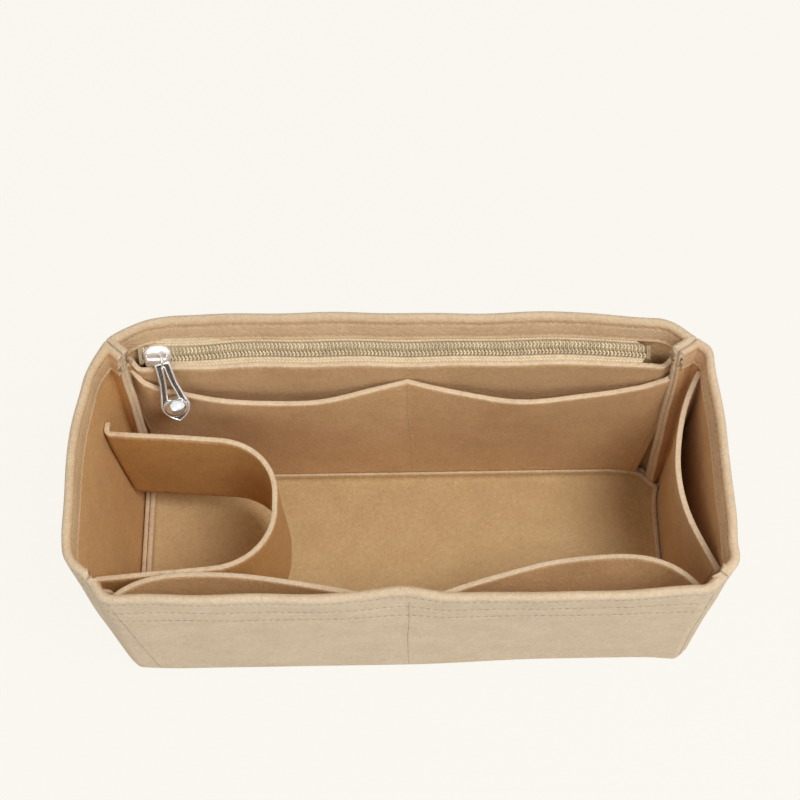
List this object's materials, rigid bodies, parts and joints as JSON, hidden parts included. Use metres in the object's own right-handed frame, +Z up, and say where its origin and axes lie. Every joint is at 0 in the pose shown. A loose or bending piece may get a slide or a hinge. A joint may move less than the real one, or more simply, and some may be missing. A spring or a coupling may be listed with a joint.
{
  "type": "purse organizer insert",
  "caption": "Open felt tub that stands in a handbag, with twin pockets on the long walls, a side pocket, a cup loop and a zipped pouch behind the back pockets.",
  "frame": {"origin": "middle of the foot, on the face it stands on", "axes": "+X along the length towards the side pocket, +Y towards the wall with the zip, +Z up"},
  "size_m": [0.2896, 0.1374, 0.128],
  "materials": {
    "felt": "needled polyester felt, beige",
    "floor_felt": "needled polyester felt, beige",
    "zip_tape": "woven tape, khaki",
    "nylon": "satin nylon loops",
    "thread": "sewing thread",
    "nickel": "polished plating"
  },
  "bodies": {
    "organizer": {"base_panel": "floor_felt", "back_panel": "felt", "front_panel": "felt", "left_side_panel": "felt", "right_side_panel": "felt", "zip_pocket_panel": "felt", "back_patch_pocket": "felt", "front_patch_pocket": "felt", "right_side_pocket": "felt", "cup_loop": "felt", "zip_tape_upper": "zip_tape", "zip_tape_lower": "zip_tape", "zip_coil_upper": "nylon", "zip_coil_lower": "nylon", "zip_end_tack_left": "thread", "zip_end_tack_right": "thread"},
    "slider": {"slider_body": "nickel", "slider_bridge": "nickel"},
    "pull": {"pull_frame": "nickel", "pull_ball": "nickel"}
  },
  "joints": [
    {"name": "slider_slide", "type": "slide", "parent": "organizer", "child": "slider", "axis": [1, 0, 0], "range_m": [0, 0.218], "deforming": ["zip_coil_upper", "zip_coil_lower"]},
    {"name": "pull_lift", "type": "hinge", "parent": "slider", "child": "pull", "pos_m": [-0.1068, 0.05516, 0.11246], "axis": [-1, 0, 0], "range_deg": [0, 140]}
  ]
}
